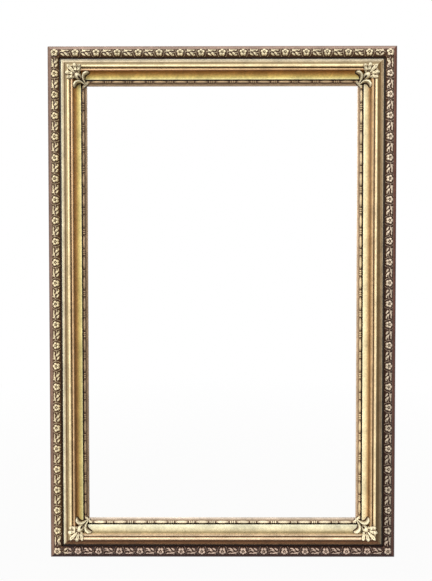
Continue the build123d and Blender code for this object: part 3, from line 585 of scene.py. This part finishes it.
turn = np.linspace(0, math.pi, STRIP_POINTS)[:, None]
for side, (_, run_of, _) in SIDES.items():
    run = OUTER[run_of] - 2 * (MOULDING + STRIP_SET_BACK)
    pitch = run / round(run / STRIP_REPEAT)
    along = np.linspace(-run / 2, run / 2, int(run / STRIP_GRID) + 1)[None, :]
    thick = barrel_and_pearls(along + run / 2, pitch)
    grid_in = STRIP_CENTRE - STRIP_HALF * thick * np.cos(turn)
    height = moulding_height(grid_in) + STRIP_RISE * thick * np.sin(turn)
    points = placed(side, grid_in, along, height)
    uv = np.stack(np.broadcast_arrays(along, turn * STRIP_HALF), -1) * MM
    # Painted shade with the grime in the necks, down the sides and at the foot; the side's painted light in
    # the tone.
    grime_and_shade_grid = np.clip(STRIP_GRIME_AND_SHADE - STRIP_CLEAN_LIT_TOPS * thick * np.sin(turn) ** 0.6, 0, MOST_STRIP_GRIME_AND_SHADE)
    tone = (*linear(STRIP_SIDE_LIT_TONES[side]), STRIP_GILT)
    string = surface(side + "_pearl_string", points, tone, grime_and_shade_grid, STRIP_RUB, uv, ring=True, caps=True)
    string.data.materials.append(gold_leaf)
    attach(string, "frame")
    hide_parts(side + "_sight_strip")

# Corner ornaments
# A pressed spray of acanthus over the mitre at each corner, bent hot over the cove, bead and hollow and
# glued: a boss with a drilled eye, two ribbons to the sight corner, two C-scrolls, and five furrowed lobes.
ORNAMENT_GRID = 0.45
ORNAMENT_SPAN = (-18.0, 58.0)
# Places of the eye and the boss on the mitre, from their distances outward along both rails.
EYE, EYE_RADIUS, EYE_DEPTH = 15.2 * math.sqrt(2), 2.7, 7.0
BOSS, BOSS_HALVES, BOSS_FOOT, BOSS_RISE = 20.5 * math.sqrt(2), (11.0, 9.0), 38.0, 13.0
# Lobes: angle off the mitre in degrees, reach and width.
LOBES = ((0, 34.5, 11.5), (34, 32.5, 11.0), (-34, 32.5, 11.0), (68, 28.5, 9.5), (-68, 28.5, 9.5))
LOBE_RISE = 6.5
CURL_LINE = ((-1.0, 0.5), (2.5, 6.0), (5.5, 12.0), (5.8, 19.0), (2.5, 25.0), (-4.5, 29.0), (-11.5, 30.5))
CURL_HALF_WIDTHS = (1.1, 1.7, 2.2, 2.7, 3.2, 3.3, 2.3)
CURL_TOPS = (29.0, 36.0, 42.0, 46.0, 48.5, 49.0, 45.0)
RIBBON_LINE = ((15.5, 11.0), (10.0, 6.0), (4.5, 1.0), (1.5, -1.5))
RIBBON_HALF_WIDTHS = (2.2, 2.0, 1.8, 1.5)
RIBBON_RISES = (5.5, 5.0, 4.5, 3.5)
RIBBON_TIP = {"foot": (2.0, 1.0), "angle": -48, "length": 12.5, "width": 6.0, "rise": 4.5}
ORNAMENT_TONE = (*linear("#f4e8c4"), 0.4)
ORNAMENT_BACK = 1.2
SIGHT_GAP = 0.5
BRIDGE_SPREAD, BRIDGE_LIFT = 7.0, 2.0
# The halo is the blurred plan of the spray: 1 well inside it, 0 well outside. Over these ranges of it the
# sheet gains its height, the thin lip round it rises from below the moulding to carry a painted shadow, and
# that painted shadow along the edge ends.
LEAST_RELIEF, HALO_SPREAD, HALO_END = 0.05, 1.6, 0.01
SHEET_RANGE, LIP_RANGE, EDGE_SHADOW_RANGE = (0.3, 0.75), (0.03, 0.3), (0.2, 0.6)
LIP_SINK, LIP_RISE = 0.5, 0.7
FOLD_CELLS = 4.5
# Painted shadow on the lip round the spray; grime with painted shade in its folds, and most of both in the eye
# and the slit.
EDGE_SHADOW, FOLD_GRIME_AND_SHADE, MOST_FOLD_GRIME_AND_SHADE, CAKED_GRIME_AND_SHADE = 1.1, 1.2, 1.6, 2
TOP_RUB, MOST_TOP_RUB = 0.10, 0.2
# A slit on the mitre parts the ribbons: half width, ends along the mitre, and depth as a share of the eye's.
SLOT_HALF, SLOT_ENDS, SLOT_SHARE = 1.0, ((3.0, 5.0), (17.0, 20.0)), 0.35


def lobe(m, n, angle, reach, width):
    """Relief of a leaf lobe that starts behind the eye: it widens as a sine, ends in a blunt ellipse, and has
    a furrow along its middle."""
    c, s = math.cos(math.radians(angle)), math.sin(math.radians(angle))
    way, aside = (m * c + n * s) / reach, -m * s + n * c
    inside = np.clip(way, 0, 1)
    half = width / 2 * np.where(inside < 0.6, 0.35 + 0.65 * np.sin(math.pi / 2 * inside / 0.6),
                                np.sqrt(np.clip(1 - ((inside - 0.6) / 0.4) ** 2.6, 0, 1))) + 1e-6
    over = np.clip(1 - (aside / half) ** 2, 0, 1) ** 0.8
    furrow = 1 - 0.25 * np.exp(-(aside / 1.0) ** 2) * eased(0.3, 0.5, inside)
    return np.where((way > 0) & (way < 1), LOBE_RISE * over * furrow * (0.85 + 0.15 * inside), 0)


def rib(p, q, knots, halves, rises):
    """Relief of a rounded rib along a smooth line through the knots, its half widths and rises given at equal
    steps of the way, from each point's distance to the nearest place on the line. A high rib has upright
    sides under a half-round top."""
    way = np.linspace(0, 1, 140)
    line = blurred(banded(way, np.linspace(0, 1, len(knots)), knots), 6)
    distance = np.hypot(p[..., None] - line[:, 0], q[..., None] - line[:, 1])
    nearest = way[np.argmin(distance, -1)]
    half, rise = (np.interp(nearest, np.linspace(0, 1, len(v)), v) for v in (halves, rises))
    distance = np.min(distance, -1)
    top = np.minimum(half, rise)
    return np.where(distance < half, rise - top + stem(distance, half, top), 0)


def on_mitre(p, q):
    """Distances along the mitre and across it, from those along the two rails: their sum and difference,
    each divided by the root of two."""
    return (p + q) / math.sqrt(2), (p - q) / math.sqrt(2)


def acanthus_relief(p, q, sheet):
    """Relief of the corner spray over its own sheet, p and q outward from the sight corner along its two
    rails: the fan of lobes, then on each side of the mitre a ribbon, the ribbon's leaf tip, and a scroll
    whose top keeps its own level over the hollow of the cove."""
    m, n = on_mitre(p, q)
    parts = [lobe(m - BOSS, n, *shape) for shape in LOBES]
    for one, other in ((p, q), (q, p)):
        parts.append(rib(one, other, CURL_LINE, CURL_HALF_WIDTHS, CURL_TOPS) - sheet)
        parts.append(rib(one, other, RIBBON_LINE, RIBBON_HALF_WIDTHS, RIBBON_RISES))
        parts.append(leaf_blade(one, other, **RIBBON_TIP))
    return np.max(parts, 0)


reach = np.linspace(*ORNAMENT_SPAN, int((ORNAMENT_SPAN[1] - ORNAMENT_SPAN[0]) / ORNAMENT_GRID) + 1)
p, q = np.meshgrid(reach, reach, indexing="ij")
m, n = on_mitre(p, q)
# The sheet bridges the narrow hollows of the moulding.
bed = moulding_height(MOULDING - np.maximum(p, q))
sheet = np.maximum(bed, softened(bed, BRIDGE_SPREAD / ORNAMENT_GRID) + BRIDGE_LIFT)
relief = acanthus_relief(p, q, sheet)
dome = np.clip(1 - ((m - BOSS) / BOSS_HALVES[0]) ** 2 - (n / BOSS_HALVES[1]) ** 2, 0, 1)
covered = (relief > LEAST_RELIEF) | (dome > 0)
halo = softened(covered.astype(float), HALO_SPREAD / ORNAMENT_GRID)
height = bed + (sheet - bed + relief) * eased(*SHEET_RANGE, halo)
height = height - LIP_SINK + LIP_RISE * eased(*LIP_RANGE, halo)
height = np.maximum(height, np.where(dome > 0, BOSS_FOOT + BOSS_RISE * np.sqrt(dome), 0))
pit = np.exp(-(np.hypot(m - EYE, n) / EYE_RADIUS) ** 4)
slot = np.exp(-(n / SLOT_HALF) ** 4) * eased(*SLOT_ENDS[0], m) * (1 - eased(*SLOT_ENDS[1], m))
height = height - EYE_DEPTH * np.maximum(pit, SLOT_SHARE * slot)
keep = whole_cells((halo > HALO_END) & (np.maximum(p, q) > SIGHT_GAP))
# The lip round the spray is darkened with a painted shadow; folds, eye and slit with grime and painted shade.
dip = softened(height, FOLD_CELLS) - height
painted_edge_shadow = EDGE_SHADOW * (1 - eased(*EDGE_SHADOW_RANGE, halo))
fold_grime_and_shade = np.clip(dip * FOLD_GRIME_AND_SHADE, 0, MOST_FOLD_GRIME_AND_SHADE)
grime_and_shade_grid = np.clip(painted_edge_shadow + fold_grime_and_shade + CAKED_GRIME_AND_SHADE * np.maximum(pit, slot), 0, CAKED_GRIME_AND_SHADE)
rub_grid = LEAF_RUB + np.clip(-dip * TOP_RUB, 0, MOST_TOP_RUB)
uv = np.stack((p, q), -1) * MM
for corner in CORNERS:
    points, base = (cornered(corner, MOULDING - p, MOULDING - q, level)
                    for level in (height, bed - ORNAMENT_BACK))
    piece = surface(corner + "_acanthus", points, ORNAMENT_TONE, grime_and_shade_grid, rub_grid, uv, keep, base)
    piece.data.materials.append(gold_leaf)
    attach(piece, "frame")
    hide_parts(corner + "_corner_ornament")

# Mitre keys
# Thin slips of hardwood glued into saw cuts across each mitre, which they lock, and trimmed flush with the
# outer faces. Only their edges show there, dark brown with grain lines about 1 mm apart.
SLIP_WAVES = (60, 900, 60)
hardwood, tree, shader, place = material("old_hardwood_slip")
stretched = add(tree, "Mapping", {"Vector": place, "Scale": SLIP_WAVES}).outputs[0]
grain = add(tree, "TexNoise", {"Vector": stretched, "Scale": 1, "Detail": 3}).outputs["Fac"]
slip = add(tree, "Mix", {0: grain, 6: rgba("#5c3d26"), 7: rgba("#3c2717")}, data_type="RGBA").outputs[2]
tree.links.new(slip, shader.inputs["Base Color"])
shader.inputs["Roughness"].default_value = 0.7


def dress(node, finish):
    """Gives a carried-over solid its finish."""
    data = frame["nodes"][node].data
    data.materials.clear()
    data.materials.append(finish)


for corner in CORNERS:
    dress(corner + "_mitre_keys", hardwood)

# Turn buttons
# Stamped brass plates, each on one screw through its head, that swing over the back of whatever plate stands
# in the rebate. At rest they lie along the rails, clear of it.
BUTTON_HEAD, BUTTON_REACH, BUTTON_HOLE = 7.5, 28.0, 2.7
BUTTON_TIP, BUTTON_TIP_CUT = 9.0, 2.0
BUTTON_LEVELS = (0.2, 2.2)
BUTTON_EDGE = 0.4
BUTTON_GRID = 0.7
# Aged brass. The eye sees warm metal with darker blotches of tarnish about 3 mm wide.
BRASS_MOTTLE = 6 * MM
brass, tree, shader, place = material("aged_brass")
mottle = add(tree, "TexNoise", {"Vector": place, "Scale": 1 / BRASS_MOTTLE, "Detail": 4}).outputs["Fac"]
tarnish = add(tree, "MapRange", {"Value": mottle, 1: 0.4, 2: 0.7}).outputs[0]
metal = add(tree, "Mix", {0: tarnish, 6: rgba("#c39b52"), 7: rgba("#7b5a2c")}, data_type="RGBA").outputs[2]
rough = add(tree, "MapRange", {"Value": mottle, 1: 0.3, 2: 0.7, 3: 0.3, 4: 0.5}).outputs[0]
tree.links.new(metal, shader.inputs["Base Color"])
tree.links.new(rough, shader.inputs["Roughness"])
shader.inputs["Metallic"].default_value = 1.0

ends = [(BUTTON_REACH - BUTTON_TIP_CUT, -BUTTON_TIP / 2), (BUTTON_REACH, BUTTON_TIP_CUT - BUTTON_TIP / 2)]
outline = np.vstack((bow((0, BUTTON_HEAD), (0, -BUTTON_HEAD), -BUTTON_HEAD, 40), ends,
                     [(u, -v) for u, v in ends[::-1]], [(0, BUTTON_HEAD)]))
outline = spaced(outline, BUTTON_GRID)[:-1]
inset = outline + BUTTON_EDGE * left_of(steps_round(outline))
hole = BUTTON_HOLE * outline / np.hypot(*outline.T)[:, None]
near, far = BUTTON_LEVELS
levels = ((hole, far), (inset, far), (outline, far - BUTTON_EDGE), (outline, near), (hole, near))
button_plan = np.array([line for line, _ in levels])
button_depth = np.array([np.full(len(outline), level) for _, level in levels])
pivots = {joint["child"]: np.array(joint["pos_m"]) for joint in frame["joints"]}
for node, pivot in pivots.items():
    if "_turn_button_" in node:
        lean = np.mean(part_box(node), 0) - pivot
        along = np.where(np.abs(lean) == np.abs(lean).max(), np.sign(lean), 0) * (1, 0, 1)
        plan = button_plan[..., :1] * along + button_plan[..., 1:] * np.cross(along, (0, 1, 0))
        points = (pivot * (1, 0, 1)) + MM * (plan + button_depth[..., None] * (0, 1, 0))
        plate = surface(node + "_plate", points, ring=True, closed=True)
        plate.data.materials.append(brass)
        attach(plate, node)
        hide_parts(node)

# Hangers and screws
# A brass strap on each side rail, held by two steel screws, its end curled round the straight bar of a bent
# brass ring that hangs down. Slotted steel screws of the same make hold the turn buttons.
STRAP_HALF, STRAP_THICK, STRAP_END = 8.0, 1.5, 62.0
STRAP_GRID, STRAP_SQUARENESS = 0.6, 0.3
LOOP_AXIS, LOOP_TURN = 3.973, math.radians(300)
RING_HALF, RING_SPRING, RING_CORNER, RING_BAR = 14.5, 11.0, 3.5, 2.0
RING_GRID = 0.9
SCREW_HEAD, SCREW_RISE, SCREW_SLOT, SCREW_SLOT_DEPTH = 4.2, 2.2, 0.13, 1.0
SCREW_RIM = 0.2
# Back of a screw from its point out to the rim of its head: share of the head's radius, radius and depth.
SCREW_BACK = ((0, 0, -15.0), (0.2, 1.6, -9.0), (0.45, 1.9, -4.0), (0.5, 2.0, 0.0), (1, SCREW_HEAD, 0.0))
SCREW_TURN = 2.4
SCREW_DROPS = (36.0, 52.0)
BUTTON_SEAT = 2.4
# Dulled screw steel. The eye sees grey metal with spots of rust about 2 mm wide.
RUST_SPOT = 4 * MM
steel, tree, shader, place = material("dulled_screw_steel")
mottle = add(tree, "TexNoise", {"Vector": place, "Scale": 1 / RUST_SPOT, "Detail": 4}).outputs["Fac"]
rust = add(tree, "MapRange", {"Value": mottle, 1: 0.55, 2: 0.75, 3: 0.0, 4: 0.7}).outputs[0]
metal = add(tree, "Mix", {0: rust, 6: rgba("#8a8782"), 7: rgba("#5a3b28")}, data_type="RGBA").outputs[2]
tree.links.new(metal, shader.inputs["Base Color"])
shader.inputs["Metallic"].default_value = 0.9
shader.inputs["Roughness"].default_value = 0.42

# The strap's middle line runs up and curls back. Its end is a half circle, and its section is an oval whose
# sine and cosine are raised to a small power, so that it is nearly an oblong.
roll = np.linspace(0, LOOP_TURN, 60)
loop = LOOP_AXIS - STRAP_THICK / 2
curl = np.column_stack((LOOP_AXIS - loop * np.cos(roll), loop * np.sin(roll)))
run = spaced(np.vstack(([(STRAP_THICK / 2, -STRAP_END)], curl)), STRAP_GRID)
normal = left_of(np.gradient(run, axis=0))
past = np.clip(STRAP_HALF - STRAP_END - run[:, 1], 0, STRAP_HALF - 0.05)
half = np.sqrt(STRAP_HALF ** 2 - past ** 2)
turn = np.linspace(0, 2 * math.pi, 28, endpoint=False)[:, None]
wide, thick = (np.sign(f(turn)) * np.abs(f(turn)) ** STRAP_SQUARENESS for f in (np.cos, np.sin))
strap_x = half * wide
strap_y, strap_z = (run[:, i] + STRAP_THICK / 2 * thick * normal[:, i] for i in (0, 1))

# The ring is a round bar bent to a D, with its straight side in the strap's loop.
corner_rise = RING_CORNER * (1 - math.sqrt(0.5))
wire = np.vstack((bow((-RING_HALF, -RING_CORNER), (RING_CORNER - RING_HALF, 0), corner_rise, 12),
                  bow((RING_HALF - RING_CORNER, 0), (RING_HALF, -RING_CORNER), corner_rise, 12),
                  bow((RING_HALF, -RING_SPRING), (-RING_HALF, -RING_SPRING), RING_HALF, 60),
                  [(-RING_HALF, -RING_CORNER)]))
wire = spaced(wire, RING_GRID)[:-1]
aside = left_of(steps_round(wire))
turn = np.linspace(0, 2 * math.pi, 20, endpoint=False)[:, None]
ring_x, ring_z = (wire[:, i] + RING_BAR * np.cos(turn) * aside[:, i] for i in (0, 1))
ring_y = np.broadcast_to(LOOP_AXIS + RING_BAR * np.sin(turn), ring_x.shape)

for side in ("left", "right"):
    hang = pivots[side + "_hanging_ring"] * (1, 0, 1)
    strap_points = hang + MM * np.stack((strap_x, strap_y, strap_z), -1)
    ring_points = hang + MM * np.stack((ring_x, ring_y, ring_z), -1)
    strap = surface(side + "_brass_strap", strap_points, ring=True, caps=True)
    eye = surface(side + "_brass_ring", ring_points, ring=True, closed=True)
    for piece, node, body in ((strap, "_hanger_strap", "frame"),
                              (eye, "_hanging_ring", side + "_hanging_ring")):
        piece.data.materials.append(brass)
        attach(piece, body)
        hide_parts(side + node)


def slotted_screws(name, node, spots, seat):
    """Round-headed screws in one mesh. A head is drawn on straight chords of its circle, so that the slot has
    straight edges: a dome whose height falls as the root of the distance squared. Its back steps in to the
    shank. Each slot is turned on from the last one by the same angle."""
    slot = np.linspace(-0.98, 0.98, 3) * SCREW_SLOT
    flank = np.linspace(SCREW_SLOT, 0.985, 9)
    across = np.concatenate((-flank[::-1], slot, flank))[:, None]
    along = np.linspace(-1, 1, 21) * np.sqrt(1 - across ** 2)
    out = np.hypot(along, across)
    dome = SCREW_RISE * np.sqrt(1 - 0.85 * out ** 2) - SCREW_SLOT_DEPTH * (np.abs(across) < SCREW_SLOT)
    shares, radii, depths = zip(*SCREW_BACK)
    shank = np.interp(out, shares, radii) / np.maximum(out, 1e-6)
    depth = np.interp(out, shares, depths)
    angle = SCREW_TURN * np.arange(len(spots))[:, None, None]
    grids = []
    for reach, height in ((SCREW_HEAD, np.maximum(dome, SCREW_RIM)), (shank, depth)):
        u, v = reach * along, reach * across
        x, z = u * np.cos(angle) - v * np.sin(angle), u * np.sin(angle) + v * np.cos(angle)
        local = np.stack(np.broadcast_arrays(x, height + seat, z), -1)
        grids.append(np.array(spots)[:, None, None] + MM * local)
    screws = surface(name, grids[0], under=grids[1])
    screws.data.materials.append(steel)
    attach(screws, "frame")
    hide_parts(node)


slotted_screws("slotted_button_screws", "turn_button_screws",
               [pivot * (1, 0, 1) for node, pivot in pivots.items() if "_turn_button_" in node], BUTTON_SEAT)
slotted_screws("slotted_hanger_screws", "hanger_screws",
               [pivots[side + "_hanging_ring"] * (1, 0, 1) - (0, 0, MM * drop) for side in ("left", "right")
                for drop in SCREW_DROPS], STRAP_THICK)

# Studio
# A pale floor under the frame, white all round behind it, and a large soft light from the upper left in
# front. A second light behind shows the back, and the camera stands where the photograph was taken from.
FLOOR_LEVEL, FLOOR_HALF = -0.712, 9
WINDOW_BEARING = (-0.40, -0.60, 0.69)
WINDOW_BEAM, WINDOW_STRENGTH, WINDOW_ANGLE = (0.26, 0.89, -0.37), 1.75, 0.4
REAR_PLACE, REAR_SIZE, REAR_POWER = (-1.0, 2.2, 1.4), 1.6, 45
CAMERA_PLACE = (-0.013, -1.6, 0.0702)
PITCH, YAW, ROLL = -0.0211, -0.0029, -0.0008
FOCAL_PIXELS, PHOTO_PIXELS, SENSOR = 567.2, 581, 36.0

# The floor is seen as white, a little less so near the frame, where it keeps the frame's shadow. To the light
# that it throws back on the frame it is a matt grey.
studio, tree, shader, place = material("pale_studio_floor")
tree.nodes.remove(shader)
path = add(tree, "LightPath").outputs
seen = path["Is Camera Ray"]
for ray in ("Is Glossy Ray", "Is Transmission Ray"):
    seen = add(tree, "Math", {0: seen, 1: path[ray]}, operation="MAXIMUM").outputs[0]
distance = add(tree, "VectorMath", {0: place}, operation="LENGTH").outputs["Value"]
white = add(tree, "MapRange", {"Value": distance, 1: 0.9, 2: 3.0, 3: 0.96, 4: 1.0}).outputs[0]
share = add(tree, "Math", {0: seen, 1: white}, operation="MULTIPLY").outputs[0]
matt = add(tree, "BsdfDiffuse", {"Color": rgba("#85827c")}).outputs[0]
glow = add(tree, "Emission", {"Color": (1, 1, 1, 1), "Strength": 1.0}).outputs[0]
blend = add(tree, "MixShader", {0: share, 1: matt, 2: glow}).outputs[0]
tree.links.new(blend, tree.nodes["Material Output"].inputs["Surface"])
floor_mesh = bpy.data.meshes.new("studio_floor")
floor_plan = ((-FLOOR_HALF, -FLOOR_HALF), (FLOOR_HALF, -FLOOR_HALF),
              (FLOOR_HALF, FLOOR_HALF), (-FLOOR_HALF, FLOOR_HALF))
floor_mesh.from_pydata([(x, y, FLOOR_LEVEL) for x, y in floor_plan], [], [(0, 1, 2, 3)])
floor_mesh.materials.append(studio)
floor = bpy.data.objects.new("studio_floor", floor_mesh)
bpy.context.scene.collection.objects.link(floor)

# The world is white to the camera, and to metal where it shows what is behind the frame. Its light is that of
# a wide window, which falls off with the angle from its bearing.
world = bpy.data.worlds.new("soft_studio")
world.use_nodes = True
tree = world.node_tree
bearing = add(tree, "TexCoord").outputs["Generated"]
behind = add(tree, "SeparateXYZ", {0: bearing}).outputs["Y"]
path = add(tree, "LightPath").outputs
white = add(tree, "MapRange", {"Value": behind, 1: -0.05, 2: 0.25}).outputs[0]
white = add(tree, "Math", {0: white, 1: path["Is Glossy Ray"]}, operation="MULTIPLY").outputs[0]
for ray in ("Is Camera Ray", "Is Transmission Ray"):
    white = add(tree, "Math", {0: white, 1: path[ray]}, operation="MAXIMUM").outputs[0]
toward = add(tree, "VectorMath", {0: bearing, 1: WINDOW_BEARING}, operation="DOT_PRODUCT").outputs["Value"]
window = add(tree, "MapRange", {"Value": toward, 1: -0.1, 2: 0.95, 3: 0.04, 4: 1.5},
             interpolation_type="SMOOTHSTEP").outputs[0]
level = add(tree, "Math", {0: white, 1: window}, operation="MAXIMUM").outputs[0]
tree.links.new(level, tree.nodes["Background"].inputs["Color"])
bpy.context.scene.world = world

key_data = bpy.data.lights.new("window_light", "SUN")
key_data.energy = WINDOW_STRENGTH
key_data.angle = WINDOW_ANGLE
key = bpy.data.objects.new("window_light", key_data)
key.rotation_euler = Vector(WINDOW_BEAM).to_track_quat("-Z", "Y").to_euler()
bpy.context.scene.collection.objects.link(key)

rear_data = bpy.data.lights.new("rear_light", "AREA")
rear_data.size = REAR_SIZE
rear_data.energy = REAR_POWER
rear = bpy.data.objects.new("rear_light", rear_data)
rear.location = REAR_PLACE
rear.rotation_euler = (-rear.location).to_track_quat("-Z", "Y").to_euler()
bpy.context.scene.collection.objects.link(rear)

ahead = np.array((math.sin(YAW) * math.cos(PITCH), math.cos(YAW) * math.cos(PITCH), math.sin(PITCH)))
right = np.array((math.cos(YAW), -math.sin(YAW), 0.0))
up = np.cross(right, ahead)
right, up = math.cos(ROLL) * right + math.sin(ROLL) * up, math.cos(ROLL) * up - math.sin(ROLL) * right
aim = Matrix(np.column_stack((right, up, -ahead)).tolist()).to_4x4()
camera_data = bpy.data.cameras.new("photo_view")
camera_data.sensor_width = SENSOR
camera_data.lens = FOCAL_PIXELS * SENSOR / PHOTO_PIXELS
camera = bpy.data.objects.new("photo_view", camera_data)
camera.matrix_world = Matrix.Translation(CAMERA_PLACE) @ aim
bpy.context.scene.collection.objects.link(camera)
bpy.context.scene.camera = camera
bpy.context.scene.view_settings.view_transform = "Standard"
